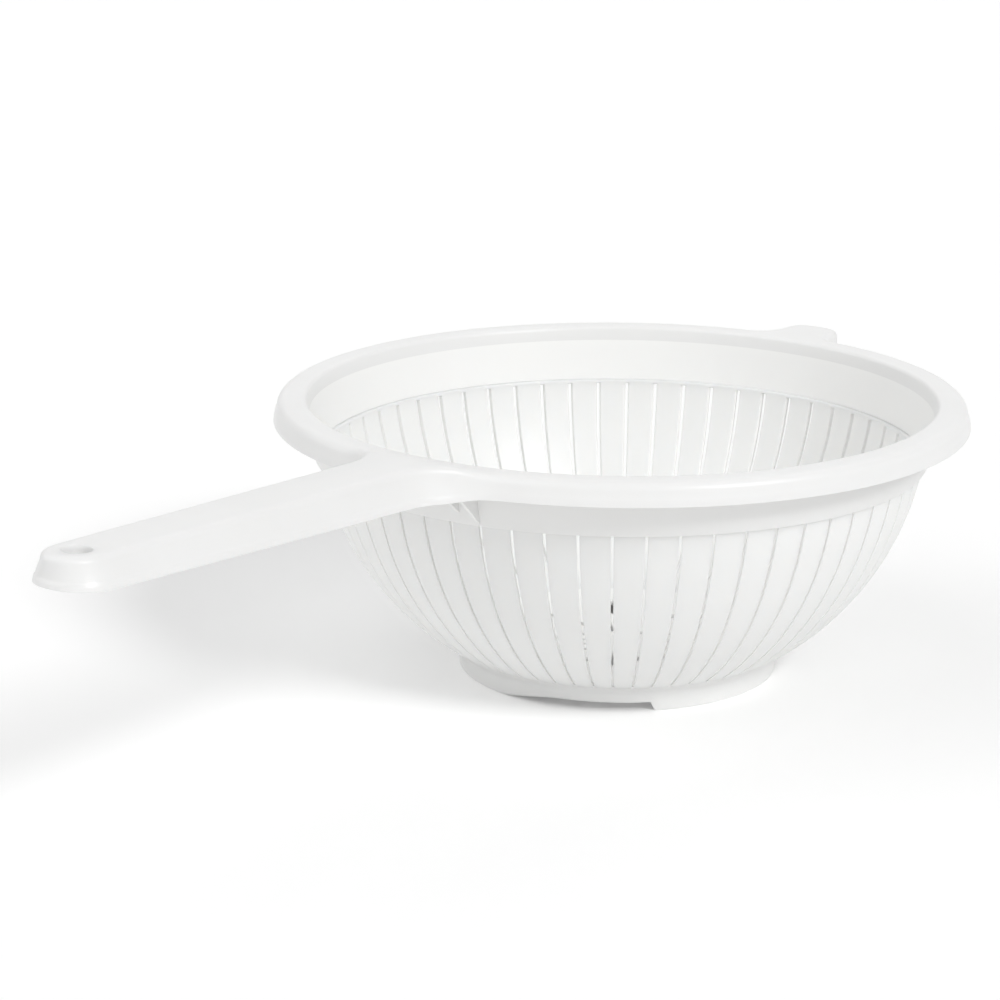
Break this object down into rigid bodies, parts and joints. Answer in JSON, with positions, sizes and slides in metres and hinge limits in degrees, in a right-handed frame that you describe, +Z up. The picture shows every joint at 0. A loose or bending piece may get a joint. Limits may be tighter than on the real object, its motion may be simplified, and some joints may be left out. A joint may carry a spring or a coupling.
{
  "type": "handled strainer",
  "caption": "Round slotted strainer bowl with a rolled rim, a foot ring, a straight hollow handle with a hanging hole, and a small rest tab opposite.",
  "frame": {"origin": "on the table, on the bowl's axis, in the plane that the feet stand on", "axes": "+Z up along the bowl's axis, +X from the bowl's axis towards the handle's end, +Y to the left of the handle seen from above"},
  "size_m": [0.4222, 0.24, 0.1058],
  "materials": {
    "white_plastic": "moulded white polypropylene, softly glossy",
    "milky_plastic": "the same white polypropylene where it is thin and lets light through"
  },
  "bodies": {
    "root": {"rim": "white_plastic", "upper_band": "milky_plastic", "upper_wall": "milky_plastic", "lower_wall": "milky_plastic", "bowl_base": "milky_plastic", "drain_floor": "milky_plastic", "foot_ring": "milky_plastic", "foot_pads": "milky_plastic", "handle_root": "white_plastic", "handle_grip": "white_plastic", "handle_end": "white_plastic", "handle_bead": "white_plastic", "handle_webs": "white_plastic", "hanging_collar": "white_plastic", "root_gussets": "white_plastic", "rest_tab": "white_plastic"}
  },
  "joints": []
}
